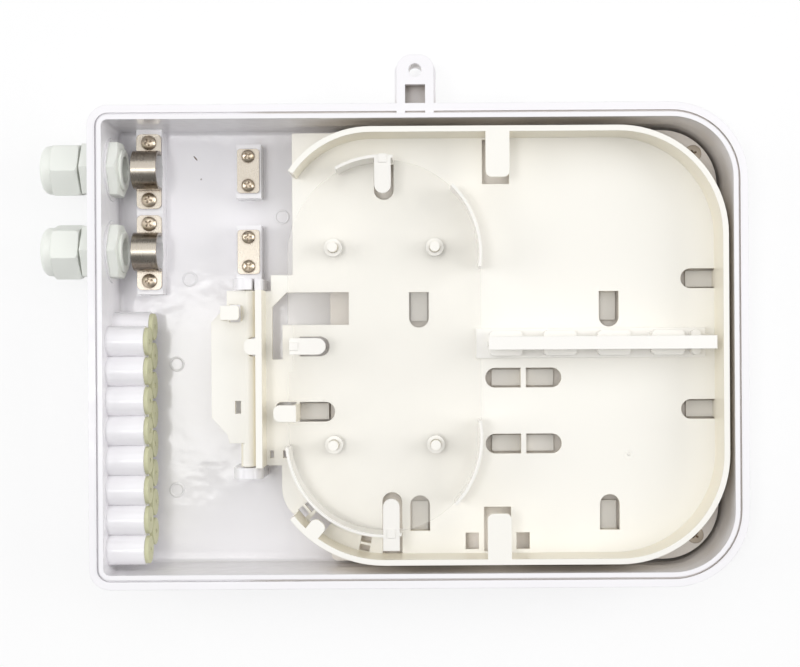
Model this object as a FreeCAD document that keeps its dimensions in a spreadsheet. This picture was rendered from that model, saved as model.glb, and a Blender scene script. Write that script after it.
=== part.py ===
import FreeCAD, Part
import math
import os
from types import SimpleNamespace

import Sketcher
from FreeCAD import Vector

# Open fibre termination box for a wall, lying on its back.
# X runs along the box from the cable entries to the rounded end, Y across it and Z out of the opening.
# The origin is the centre of the housing's back face.

# Driving dimensions in millimetres and degrees
SIZES = {
    # How far a feature starts inside the solid it joins, or runs past the face it cuts
    "overrun": 1.0,
    # Housing shell, measured inside its rim
    "inner_length": 305.0,
    "inner_width": 220.0,
    "case_height": 40.0,
    "wall": 2.5,
    "floor_sheet": 2.5,
    "draft": 1.2,
    "entry_corner": 3.0,
    "round_corner": 30.0,
    "floor_radius": 2.0,
    "back_radius": 1.5,
    "lip": 2.3,
    "groove": 1.1,
    "groove_depth": 1.6,
    "flange_reach": 3.8,
    "flange_sheet": 3.0,
    "flange_drop": 0.9,
    # Locking lug on the long side
    "lug_shift": -0.9,
    "lug_width": 18.0,
    "lug_reach": 23.5,
    "lug_corner": 7.0,
    "lug_depth": 12.0,
    "lug_front_sheet": 3.2,
    "lug_back_sheet": 2.6,
    "lug_back_edge": 1.0,
    "lug_leg": 4.2,
    "lug_window": 9.0,
    "lug_hole": 6.4,
    "lug_hole_reach": 16.0,
    "lug_boss": 11.5,
    # Drop-cable tubes
    "port_pitch": 14.6,
    "port_outer": 15.0,
    "port_bore": 11.0,
    "port_length": 18.5,
    "port_front_height": 27.5,
    "port_rear_height": 14.5,
    "port_edge": 10.8,
    # Rubber plugs
    "plug_head": 13.4,
    "plug_head_sheet": 2.0,
    "plug_edge": 0.5,
    "plug_stem": 9.0,
    "plug_play": 0.05,
    "plug_dimple": 2.6,
    "plug_dimple_depth": 0.9,
    # Cable entries
    "gland_edge": 21.8,
    "gland_pitch": 40.6,
    "gland_height": 20.0,
    "gland_seat": 31.0,
    "gland_seat_sheet": 0.5,
    "gland_hole": 20.6,
    "gland_thread": 20.2,
    "gland_bore": 13.4,
    "gasket_outer": 25.0,
    "gasket_sheet": 1.2,
    "collar_flats": 24.5,
    "collar_length": 8.6,
    "neck_outer": 19.0,
    "neck_length": 11.5,
    "thread_beyond_nut": 1.4,
    "locknut_flats": 26.0,
    "locknut_sheet": 4.8,
    "locknut_round": 29.6,
    "hex_chamfer": 1.0,
    "cap_gap": 0.9,
    "cap_flats": 24.5,
    "cap_hex_length": 13.6,
    "cap_dome_length": 5.6,
    "cap_dome_base": 24.0,
    "cap_dome_top": 17.6,
    "cap_mouth": 14.4,
    "cap_mouth_sheet": 2.0,
    "cap_play": 0.2,
    "seal_outer": 17.0,
    "seal_bore": 10.4,
    "seal_seat_depth": 6.0,
    # Cable-rest rib, saddles and strength-member plates
    "rib_offset": 17.7,
    "rib_width": 13.0,
    "rib_height": 10.3,
    "rib_overrun": 20.9,
    "saddle_inner": 16.4,
    "saddle_sheet": 1.3,
    "saddle_rise": 6.5,
    "saddle_ear": 9.2,
    "saddle_width": 12.4,
    "saddle_corner": 2.5,
    "saddle_screw_pitch": 28.6,
    "member_offset": 67.5,
    "member_boss_width": 12.6,
    "member_boss_length": 27.0,
    "member_boss_height": 10.5,
    "member_width": 11.0,
    "member_length": 22.2,
    "member_sheet": 1.2,
    "member_corner": 1.6,
    "member_screw_pitch": 14.6,
    # Pan-head screws
    "screw_shank": 3.0,
    "screw_play": 0.1,
    "screw_length": 9.0,
    "screw_tip_gap": 0.5,
    "saddle_head": 7.2,
    "member_head": 6.3,
    "head_rise": 2.2,
    "head_edge": 0.9,
    "cross_width": 0.9,
    "cross_reach": 1.9,
    "cross_depth": 1.1,
    # Tray hinge
    "hinge_offset": 68.3,
    "hinge_height": 22.8,
    "hinge_top": 27.6,
    "hinge_span": 86.6,
    "hinge_gap": 0.4,
    "bearing_sheet": 5.5,
    "bearing_width": 14.6,
    "snap_arm": 2.6,
    "snap_slot": 0.9,
    "snap_depth": 1.2,
    "snap_step": 3.0,
    "barrel": 7.6,
    "pin": 4.0,
    "pin_length": 4.4,
    "pin_play": 0.1,
    # Splice tray floor
    "tray_height": 17.2,
    "tray_sheet": 2.0,
    "tray_wall": 2.8,
    "tray_end_gap": 2.5,
    "tray_side_gap": 4.0,
    "tray_corner": 53.0,
    "tray_top_arc": 48.0,
    "tray_top_reach": 39.8,
    "tray_low_arc": 58.0,
    "tray_low_reach": 45.9,
    "tray_left_offset": 21.7,
    "tray_step_offset": 10.8,
    "tray_step_top": 35.6,
    "tray_foot_offset": 15.9,
    "tray_foot_rise": 13.0,
    # Fibre guide beside the hinge
    "guide_sheet": 2.0,
    "guide_drop": 0.2,
    "guide_reach": 17.8,
    "guide_neck": 10.1,
    "guide_shoulder": 12.1,
    "guide_shoulder_rise": 8.2,
    "guide_low": 34.9,
    "guide_low_drop": 8.3,
    "guide_foot": 47.4,
    "guide_foot_neck": 9.1,
    "guide_hole_reach": 3.4,
    "guide_hole_width": 2.8,
    "guide_hole_top": 26.6,
    "guide_hole_length": 6.2,
    "guide_wall_offset": 5.0,
    "guide_wall_sheet": 3.2,
    "guide_wall_height": 19.2,
    "guide_finger": 5.5,
    "guide_finger_width": 7.8,
    "guide_tab_reach": 11.9,
    "guide_tab_length": 9.1,
    "guide_tab_y": 16.5,
    "guide_tab_width": 7.0,
    "guide_slot_end": 1.8,
    # Fingers that hold the fibres down, each over an opening in the floor
    "finger_width": 11.6,
    "finger_reach": 22.0,
    "finger_sheet": 1.6,
    "finger_tip": 3.0,
    "finger_shift": 38.7,
    "finger_margin": 0.9,
    "arc_finger_width": 7.8,
    "arc_finger_reach": 7.2,
    "arc_finger_margin": 0.8,
    "left_finger_post": 23.2,
    "left_finger_length": 11.0,
    "left_finger_width": 8.1,
    "left_finger_y": -32.5,
    "left_finger_drop": 2.0,
    # Openings in the tray floor, each slot with a hook below its flat end
    "window_left": 11.4,
    "window_right": 49.5,
    "window_top": 26.9,
    "window_low": 10.7,
    "window_leg": 5.1,
    "window_leg_low": 6.3,
    "window_chamfer": 7.2,
    "slot_width": 9.8,
    "slot_length": 17.6,
    "slot_near_shift": 0.2,
    "slot_far_shift": 94.6,
    "slot_top": 26.7,
    "slot_low": 74.4,
    "end_slot_length": 16.8,
    "end_slot_top": 32.8,
    "end_slot_low": 32.2,
    "pair_slot_shift": 51.9,
    "pair_slot_bridge": 2.6,
    "pair_slot_top": 16.1,
    "pair_slot_low": 48.9,
    "hook_drop": 5.4,
    "hook_sheet": 1.4,
    "hook_play": 0.8,
    "hook_short": 3.4,
    "side_hole_width": 6.6,
    "side_hole_length": 8.2,
    "side_hole_pitch": 25.3,
    "side_hole_edge": 7.4,
    "tie_hole_width": 1.8,
    "tie_hole_length": 3.7,
    "tie_hole_reach": 10.9,
    "tie_hole_pitch": 6.5,
    "tie_hole_y": -53.5,
    "clip_hole_depth": 3.0,
    "clip_hole_width": 5.2,
    "clip_hole_near": 49.1,
    "clip_hole_far": 53.4,
    # Posts that locate the winding tray
    "post": 5.0,
    "post_height": 12.5,
    "post_pitch_long": 97.2,
    "post_pitch_short": 50.2,
    # Clear winding tray
    "winding_gap": 0.1,
    "winding_shift": 45.6,
    "winding_sheet": 1.2,
    "winding_width": 95.8,
    "winding_length": 185.0,
    "winding_rim": 1.4,
    "winding_rim_drop": 0.8,
    "winding_ring": 8.8,
    "winding_ring_height": 5.5,
    "winding_ring_play": 0.2,
    "winding_notch": 2.4,
    "winding_notch_top": 10.7,
    "winding_notch_low": 12.6,
    "winding_finger": 8.0,
    "winding_finger_tip": 73.9,
    "winding_side_finger": 17.5,
    "winding_low_shift": 3.3,
    "winding_low_reach": 7.2,
    "winding_slot": 9.8,
    "winding_slot_past": 1.2,
    "winding_clip": 3.7,
    "winding_clip_length": 4.2,
    "winding_clip_rise": 0.5,
    # Divider
    "bar_left": 28.6,
    "bar_play": 0.4,
    "bar_shift": 1.0,
    "bar_width": 14.6,
    "bar_sheet": 1.6,
    "bar_web": 2.4,
    "bar_height": 19.6,
    "bar_head_width": 6.4,
    "bar_head_sheet": 2.4,
    "bar_head_left": 34.0,
    "bar_end_gap": 5.6,
    "bar_foot_gap": 7.6,
    "bar_block_length": 16.2,
    "bar_block_width": 12.4,
    "bar_block_rise": 6.0,
    "bar_block_corner": 2.2,
    "bar_block_first": 35.0,
    "bar_block_pitch": 26.6,
    "bar_stop_length": 4.8,
    "bar_stop_gap": 3.4,
    # Lower deck
    "deck_height": 9.0,
    "deck_sheet": 2.5,
    "deck_gap": 2.2,
    "deck_left": 44.4,
    "deck_boss": 9.5,
    "deck_screw_end": 11.8,
    "deck_screw_inset": 6.0,
    "deck_screw_side": 14.0,
    "deck_screw_head": 8.4,
    "deck_screw_sink": 0.05,
    "deck_screw_shank": 4.0,
    "deck_screw_length": 8.0,
    "deck_rest": 7.0,
    "deck_rest_gap": 0.3,
    "deck_rest_near": 20.0,
    "deck_rest_far": 113.0,
    "deck_rest_side": 66.0,
}
PORTS_PER_ROW = 8
HEX_CORNER = 2 / math.sqrt(3)
HEAD_ANGLE = 45
# Directions round the ends of the winding tray between which its rim stands
TOP_RIM = [(-8, 45), (84, 119)]
LOW_RIM = [(185, 280), (317, 370)]
# Directions from the centre of the tray's lower corner
ARC_FINGER = 230
CLIP_HOLES = [219.8, 258.2]
BAR_BLOCKS = 4
# How far each screw's cross is turned
SADDLE_TURNS = [20, 75, 50, 10]
PLATE_TURNS = [35, 65, 5, 40]
DECK_TURNS = [25, 50, 75, 15]

doc = FreeCAD.newDocument("fibre_termination_box")
sheet = doc.addObject("Spreadsheet::Sheet", "sizes")
for row, (name, number) in enumerate(SIZES.items(), 1):
    sheet.set("A%d" % row, name)
    sheet.set("B%d" % row, str(number))
    sheet.setAlias("B%d" % row, name)
doc.recompute()


class Size:
    """A length or angle together with the sheet expression that gives it."""

    def __init__(self, value, text):
        self.value = value
        self.text = text

    def __add__(self, other):
        return join(self, "+", other, lambda a, b: a + b)

    def __radd__(self, other):
        return join(other, "+", self, lambda a, b: a + b)

    def __sub__(self, other):
        return join(self, "-", other, lambda a, b: a - b)

    def __rsub__(self, other):
        return join(other, "-", self, lambda a, b: a - b)

    def __mul__(self, other):
        return join(self, "*", other, lambda a, b: a * b)

    def __rmul__(self, other):
        return join(other, "*", self, lambda a, b: a * b)

    def __truediv__(self, other):
        return join(self, "/", other, lambda a, b: a / b)

    def __neg__(self):
        return join(0, "-", self, lambda a, b: a - b)


def size(item):
    """Plain numbers take part in the same sums as sizes from the sheet."""
    return item if isinstance(item, Size) else Size(float(item), repr(float(item)))


def join(left, sign, right, work):
    left, right = size(left), size(right)
    return Size(work(left.value, right.value), "(%s %s %s)" % (left.text, sign, right.text))


def tangent(angle):
    return Size(math.tan(math.radians(angle.value)), "tan(%s)" % angle.text)


def root(item):
    return Size(math.sqrt(item.value), "sqrt(%s)" % item.text)


def bind(target, name, item):
    """Give one property of an object the value of a size, and keep it bound to the sheet."""
    target.setExpression(name, size(item).text)


d = SimpleNamespace(**{name: Size(number, "sizes." + name) for name, number in SIZES.items()})
PIECES = []


class Outline:
    """A closed path of straight lines and arcs, each corner placed by two sizes."""

    def __init__(self, x, y):
        self.start = (size(x), size(y))
        self.steps = []

    def line(self, x, y):
        self.steps.append((size(x), size(y), None, None, True))
        return self

    def arc(self, x, y, centre_x, centre_y, left_turn=True):
        """An arc to x, y round a centre; left_turn says that it bends to the left."""
        self.steps.append((size(x), size(y), size(centre_x), size(centre_y), left_turn))
        return self

    def draw(self, curves, rules):
        """Add the path's curves to a sketch's list, and what places them to its rules."""
        first = len(curves)
        corners = [self.start]
        starts = []
        ends = []
        steps = list(self.steps)
        last_x, last_y = steps[-1][0], steps[-1][1]
        if abs(last_x.value - self.start[0].value) + abs(last_y.value - self.start[1].value) > 1e-6:
            steps.append((self.start[0], self.start[1], None, None, True))
        for index, (x, y, cx, cy, left_turn) in enumerate(steps):
            x0, y0 = corners[-1]
            geo = first + index
            begin = Vector(x0.value, y0.value, 0)
            end = Vector(x.value, y.value, 0)
            begin_point, end_point = 1, 2
            if cx is None:
                curves.append(Part.LineSegment(begin, end))
            else:
                centre = Vector(cx.value, cy.value, 0)
                turn_from = math.atan2(begin.y - centre.y, begin.x - centre.x)
                turn_to = math.atan2(end.y - centre.y, end.x - centre.x)
                circle = Part.Circle(centre, Vector(0, 0, 1), (begin - centre).Length)
                if left_turn:
                    curves.append(Part.ArcOfCircle(circle, turn_from, turn_to))
                else:
                    curves.append(Part.ArcOfCircle(circle, turn_to, turn_from))
                    begin_point, end_point = 2, 1
                if abs(end.y - begin.y) >= abs(end.x - begin.x):
                    rules.append(("DistanceX", geo, 3, cx))
                else:
                    rules.append(("DistanceY", geo, 3, cy))
            starts.append((geo, begin_point))
            ends.append((geo, end_point))
            rules.append(("DistanceX", geo, begin_point, x0))
            rules.append(("DistanceY", geo, begin_point, y0))
            corners.append((x, y))
        for index, place in enumerate(ends):
            rules.append(("Coincident", *place, *starts[(index + 1) % len(starts)]))


class Round:
    """A full circle, placed by its centre and sized by its diameter."""

    def __init__(self, x, y, diameter):
        self.x, self.y, self.diameter = size(x), size(y), size(diameter)

    def draw(self, curves, rules):
        geo = len(curves)
        centre = Vector(self.x.value, self.y.value, 0)
        curves.append(Part.Circle(centre, Vector(0, 0, 1), self.diameter.value / 2))
        rules += [("DistanceX", geo, 3, self.x), ("DistanceY", geo, 3, self.y)]
        rules.append(("Diameter", geo, self.diameter))


def constraint(kind, *items):
    """One rule of a sketch; a distance is counted from the sketch's origin."""
    if kind == "Coincident":
        return Sketcher.Constraint(kind, *items)
    origin = () if kind == "Diameter" else (-1, 1)
    return Sketcher.Constraint(kind, *origin, *items[:-1], items[-1].value)


def fill(sketch, shapes):
    """Draw shapes in a sketch, each of their sizes bound to the sheet."""
    curves = []
    rules = []
    for shape in shapes:
        shape.draw(curves, rules)
    sketch.addGeometry(curves, False)
    places = sketch.addConstraint([constraint(*rule) for rule in rules])
    for place, rule in zip(places, rules):
        if rule[0] != "Coincident":
            sketch.setExpression("Constraints[%d]" % place, rule[-1].text)


def block(x0, y0, x1, y1):
    return Outline(x0, y0).line(x1, y0).line(x1, y1).line(x0, y1)


def rounded(x0, y0, x1, y1, left, right):
    """A rectangle with one corner radius at its low-X end and another at its high-X end."""
    path = Outline(x0 + left, y0).line(x1 - right, y0).arc(x1, y0 + right, x1 - right, y0 + right)
    path.line(x1, y1 - right).arc(x1 - right, y1, x1 - right, y1 - right)
    path.line(x0 + left, y1).arc(x0, y1 - left, x0 + left, y1 - left)
    return path.line(x0, y0 + left).arc(x0 + left, y0, x0 + left, y0 + left)


def strip(x, y, angle, start, end, half, tip=None):
    """A strip along a direction out of x, y. A tip rounds its far corners, and its whole end if it is half as wide."""
    along = math.cos(math.radians(angle))
    across = math.sin(math.radians(angle))

    def at(u, v):
        return size(x) + size(u) * along - size(v) * across, size(y) + size(u) * across + size(v) * along

    half = size(half)
    path = Outline(*at(start, -half))
    if tip is None:
        path.line(*at(end, -half)).line(*at(end, half))
    elif size(tip).value > half.value - 1e-6:
        path.line(*at(size(end) - half, -half)).arc(*at(size(end) - half, half), *at(size(end) - half, 0))
    else:
        path.line(*at(size(end) - tip, -half)).arc(*at(end, tip - half), *at(size(end) - tip, tip - half))
        path.line(*at(end, half - tip)).arc(*at(size(end) - tip, half), *at(size(end) - tip, half - tip))
    return path.line(*at(start, half))


def hexagon(x, y, flats):
    corner = flats * (HEX_CORNER / 2)
    path = Outline(x, y - corner).line(x + flats / 2, y - corner / 2).line(x + flats / 2, y + corner / 2)
    return path.line(x, y + corner).line(x - flats / 2, y + corner / 2).line(x - flats / 2, y - corner / 2)


class Piece:
    """One solid piece of the product, as a body with its own sketches and features."""

    def __init__(self, label):
        self.body = doc.addObject("PartDesign::Body", label)
        self.body.Label = label
        self.origin = {item.Role: item for item in self.body.Origin.OriginFeatures}
        self.last = None
        PIECES.append(self.body)

    def sketch(self, plane, height, shapes):
        sketch = self.body.newObject("Sketcher::SketchObject", self.body.Label + "_sketch")
        sketch.AttachmentSupport = (self.origin[plane + "_Plane"], [""])
        sketch.MapMode = "FlatFace"
        bind(sketch, "AttachmentOffset.Base.z", height)
        fill(sketch, shapes)
        return sketch

    def add(self, plane, low, high, *shapes, taper=None):
        """Pad shapes between two heights above a plane; the XZ plane counts its heights along Y."""
        start = -size(high) if plane == "XZ" else size(low)
        pad = self.body.newObject("PartDesign::Pad", self.body.Label + "_pad")
        pad.Profile = self.sketch(plane, start, shapes)
        bind(pad, "Length", size(high) - low)
        if taper is not None:
            bind(pad, "TaperAngle", taper)
        self.last = pad
        return self

    def cut(self, plane, low, high, *shapes, taper=None):
        """Pocket shapes between two heights above a plane."""
        start = -size(low) if plane == "XZ" else size(high)
        pocket = self.body.newObject("PartDesign::Pocket", self.body.Label + "_pocket")
        pocket.Profile = self.sketch(plane, start, shapes)
        bind(pocket, "Length", size(high) - low)
        if taper is not None:
            bind(pocket, "TaperAngle", taper)
        self.last = pocket
        return self

    def turn(self, plane, axis, *shapes):
        """Revolve a half section about an axis of its sketch."""
        turned = self.body.newObject("PartDesign::Revolution", self.body.Label + "_turn")
        section = self.sketch(plane, 0, shapes)
        turned.Profile = section
        turned.ReferenceAxis = (section, [axis])
        turned.Angle = 360
        self.last = turned
        return self

    def repeat(self, features, axis, reversed_way, length, count):
        """Repeat features in a straight row."""
        row = self.body.newObject("PartDesign::LinearPattern", self.body.Label + "_row")
        row.Originals = features
        row.Direction = (self.origin[axis + "_Axis"], [""])
        row.Reversed = reversed_way
        row.Occurrences = count
        bind(row, "Length", length)
        self.body.Tip = row
        self.last = row
        return self

    def soften(self, radius, wanted, kind="PartDesign::Fillet"):
        """Round or chamfer the edges for which wanted is true."""
        doc.recompute()
        names = ["Edge%d" % (n + 1) for n, edge in enumerate(self.body.Shape.Edges) if wanted(edge)]
        if not names:
            raise RuntimeError("no edge to soften on " + self.body.Label)
        softened = self.body.newObject(kind, self.body.Label + "_edge")
        softened.Base = (self.last, names)
        bind(softened, "Radius" if kind.endswith("Fillet") else "Size", radius)
        self.last = softened
        return self

    def place(self, x, y, z, turn=0):
        """Put the finished piece where it sits; turn is about Z, in degrees."""
        self.body.Placement = FreeCAD.Placement(Vector(0, 0, 0), FreeCAD.Rotation(Vector(0, 0, 1), turn))
        bind(self.body, "Placement.Base.x", x)
        bind(self.body, "Placement.Base.y", y)
        bind(self.body, "Placement.Base.z", z)
        return self


def edge_at(height):
    """Test for edges that lie wholly at one height."""
    def wanted(edge):
        return abs(edge.BoundBox.ZMin - height.value) < 1e-4 and abs(edge.BoundBox.ZMax - height.value) < 1e-4
    return wanted


# Places that several pieces share
left_wall = -(d.inner_length / 2)
top_wall = d.inner_width / 2
low_wall = -top_wall
right_wall = d.inner_length / 2
rim_shrink = d.case_height * tangent(d.draft)
seat_out = left_wall - d.wall - d.gland_seat_sheet / 2
seat_in = left_wall + rim_shrink + d.gland_seat_sheet / 2
gland_ys = [top_wall - d.gland_edge, top_wall - d.gland_edge - d.gland_pitch]
rib_x = left_wall + d.rib_offset
rib_top = d.floor_sheet + d.rib_height
member_x = left_wall + d.member_offset
member_top = d.floor_sheet + d.member_boss_height
flange_high = d.case_height - d.flange_drop
flange_low = flange_high - d.flange_sheet
flange_edge = d.lip + d.groove + d.flange_reach
port_end = left_wall + d.port_length
port_front_top = low_wall + d.port_edge + (PORTS_PER_ROW - 1) * d.port_pitch
port_rear_top = port_front_top + d.port_pitch / 2
hinge_x = left_wall + d.hinge_offset
hinge_low = d.hinge_top - d.hinge_span
tray_top = d.tray_height + d.tray_sheet
tray_right = right_wall - d.tray_end_gap
tray_side = top_wall - d.tray_side_gap
tray_left = hinge_x + d.tray_left_offset
deck_top = d.deck_height + d.deck_sheet
deck_right = right_wall - d.deck_gap
deck_side = top_wall - d.deck_gap
deck_screws = [(x, y) for x in (deck_right - d.deck_screw_end, -d.deck_left + d.deck_screw_inset)
               for y in (top_wall - d.deck_screw_side, low_wall + d.deck_screw_side)]

# Places on the splice tray
low_centre_x = tray_left + d.tray_low_reach
low_centre_y = -tray_side + d.tray_low_arc
low_start_x = tray_left
low_start_y = low_centre_y - root(d.tray_low_arc * d.tray_low_arc - d.tray_low_reach * d.tray_low_reach)
top_centre_x = tray_left + d.tray_top_reach
top_centre_y = tray_side - d.tray_top_arc
top_start_y = top_centre_y + root(d.tray_top_arc * d.tray_top_arc - d.tray_top_reach * d.tray_top_reach)
guide_top = d.hinge_height + d.barrel / 2 - d.guide_drop
guide_wall_x = hinge_x + d.guide_wall_offset
guide_wall_top = d.tray_height + d.guide_wall_height

# Places on the winding tray
winding_x = tray_left + d.winding_shift
winding_half = d.winding_width / 2
winding_straight = d.winding_length / 2 - winding_half
winding_left = winding_x - winding_half
winding_low = tray_top + d.winding_gap
winding_top = d.case_height - d.winding_rim_drop
winding_low_x = winding_x + d.winding_low_shift
left_post_x = hinge_x + d.left_finger_post


def shell_outline(reach):
    """The housing's outline, a given distance outside the rim's inner edge."""
    return rounded(
        left_wall - reach, low_wall - reach, right_wall + reach, top_wall + reach,
        d.entry_corner + reach, d.round_corner + reach)


def base_housing():
    part = Piece("base_housing")
    part.add("XY", 0, d.case_height, shell_outline(d.wall - rim_shrink), taper=d.draft)
    part.soften(d.back_radius, edge_at(size(0)))
    part.cut("XY", d.floor_sheet, d.case_height, shell_outline(size(0)), taper=-d.draft)
    part.soften(d.floor_radius, edge_at(d.floor_sheet))
    part.add("XY", flange_low, flange_high, shell_outline(flange_edge), shell_outline(d.lip / 2))
    part.cut("XY", flange_high - d.groove_depth, d.case_height + d.overrun,
             shell_outline(d.lip + d.groove), shell_outline(d.lip))
    drop_tubes(part)
    part.add("YZ", seat_out, seat_in, *[Round(y, d.gland_height, d.gland_seat) for y in gland_ys])
    part.cut("YZ", seat_out - d.overrun, seat_in + d.overrun,
             *[Round(y, d.gland_height, d.gland_hole) for y in gland_ys])
    cable_rest(part)
    hinge_bearings(part)
    part.add("XY", d.floor_sheet - d.overrun, d.deck_height,
             *[Round(x, y, d.deck_boss) for x, y in deck_screws])
    part.cut("XY", deck_top - d.deck_screw_length, d.deck_height + d.overrun,
             *[Round(x, y, d.deck_screw_shank + d.screw_play) for x, y in deck_screws])
    locking_lug(part)


def drop_tubes(part):
    """Two staggered rows of round tubes inside the cable-entry wall, open through the wall."""
    start = left_wall - d.wall / 2
    row = (PORTS_PER_ROW - 1) * d.port_pitch
    places = [(port_front_top, d.port_front_height), (port_rear_top, d.port_rear_height)]
    tubes = []
    for y, z in places:
        part.add("YZ", start, port_end, Round(y, z, d.port_outer))
        tubes.append(part.last)
    part.repeat(tubes, "Y", True, row, PORTS_PER_ROW)
    bores = [Round(y - n * d.port_pitch, z, d.port_bore) for y, z in places for n in range(PORTS_PER_ROW)]
    part.cut("YZ", left_wall - 2 * d.wall, port_end + d.overrun, *bores)


def cable_rest(part):
    """The rib that the cables cross, with a round notch under each saddle, and the strength-member bosses."""
    half = d.rib_width / 2
    pilot = d.screw_shank + d.screw_play
    sides = [(y, side) for y in gland_ys for side in (-1, 1)]
    member_half = d.member_boss_width / 2
    part.add("XY", d.floor_sheet - d.overrun, rib_top,
             block(rib_x - half, gland_ys[1] - d.rib_overrun, rib_x + half, top_wall + d.wall / 2))
    part.cut("YZ", rib_x - half - d.overrun, rib_x + half + d.overrun,
             *[Round(y, rib_top + d.saddle_rise, d.saddle_inner) for y in gland_ys])
    part.cut("XY", rib_top - d.screw_length, rib_top + d.overrun,
             *[Round(rib_x, y + side * d.saddle_screw_pitch / 2, pilot) for y, side in sides])
    part.add("XY", d.floor_sheet - d.overrun, member_top,
             *[block(member_x - member_half, y - d.member_boss_length / 2,
                     member_x + member_half, y + d.member_boss_length / 2) for y in gland_ys])
    part.cut("XY", member_top - d.screw_length, member_top + d.overrun,
             *[Round(member_x, y + side * d.member_screw_pitch / 2, pilot) for y, side in sides])


def hinge_bearings(part):
    """Two uprights with round tops that hold the tray's pins; the upper one has a springy arm."""
    half = d.bearing_width / 2
    top = (d.hinge_top + d.hinge_gap, d.hinge_top + d.hinge_gap + d.bearing_sheet)
    low = (hinge_low - d.hinge_gap - d.bearing_sheet, hinge_low - d.hinge_gap)
    foot = d.floor_sheet - d.overrun
    for start, end in (top, low):
        upright = Outline(hinge_x - half, foot).line(hinge_x + half, foot)
        upright.line(hinge_x + half, d.hinge_height).arc(hinge_x - half, d.hinge_height, hinge_x, d.hinge_height)
        part.add("XZ", start, end, upright)
    part.cut("XZ", low[0] - d.overrun, top[1] + d.overrun, Round(hinge_x, d.hinge_height, d.pin + d.pin_play))
    split = hinge_x + d.snap_arm
    sill = d.hinge_height + d.snap_step
    over = d.hinge_height + half + d.overrun
    gap = Outline(split, d.hinge_height - d.snap_depth)
    gap.line(split + d.snap_slot, d.hinge_height - d.snap_depth).line(split + d.snap_slot, sill).line(hinge_x + half + d.overrun, sill)
    gap.line(hinge_x + half + d.overrun, over).line(split, over)
    part.cut("XZ", top[0] - d.overrun, top[1] + d.overrun, gap)


def locking_lug(part):
    """A loop on the long side: a wider back plate, two legs and a front plate, with a boss and the lock hole."""
    x = d.lug_shift
    half = d.lug_width / 2
    root_y = top_wall + d.wall / 2
    edge = top_wall + flange_edge
    tip = edge + d.lug_reach
    front = flange_high
    back = front - d.lug_depth
    hole_y = edge + d.lug_hole_reach
    leg = half - d.lug_leg

    def loop(spread, low):
        return strip(x, 0, 90, low, tip, half + spread, d.lug_corner)

    part.add("XY", back, back + d.lug_back_sheet, loop(d.lug_back_edge, root_y))
    part.add("XY", front - d.lug_front_sheet, front, loop(size(0), edge - d.overrun),
             block(x - leg, edge, x + leg, edge + d.lug_window))
    part.add("XY", back, front, block(x - half, root_y, x - leg, tip - d.lug_corner),
             block(x + leg, root_y, x + half, tip - d.lug_corner))
    part.add("XY", back, front, Round(x, hole_y, d.lug_boss))
    part.cut("XY", back - d.overrun, front + d.overrun, Round(x, hole_y, d.lug_hole))


def drop_plug(number, y, z):
    """A rubber plug: a dimpled head against the tube's end and a stem inside the tube."""
    part = Piece("port_plug_%02d" % number)
    head = d.plug_head / 2
    stem = d.port_bore / 2 - d.plug_play
    edge = d.plug_edge
    section = Outline(-d.plug_stem, 0).line(-d.plug_stem, stem).line(0, stem).line(0, head)
    section.line(d.plug_head_sheet - edge, head)
    section.arc(d.plug_head_sheet, head - edge, d.plug_head_sheet - edge, head - edge, left_turn=False)
    section.line(d.plug_head_sheet, 0)
    part.turn("XY", "H_Axis", section)
    part.cut("YZ", d.plug_head_sheet - d.plug_dimple_depth, d.plug_head_sheet + d.overrun,
             Round(0, 0, d.plug_dimple))
    part.place(port_end, y, z)


def drop_plugs():
    for n in range(PORTS_PER_ROW):
        drop_plug(2 * n + 1, port_rear_top - n * d.port_pitch, d.port_rear_height)
        drop_plug(2 * n + 2, port_front_top - n * d.port_pitch, d.port_front_height)


def hex_outside(part, low, high, flats):
    """Cut six flats along part of a turned piece."""
    part.cut("YZ", low, high, Round(0, 0, 2 * flats), hexagon(size(0), size(0), flats))


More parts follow.
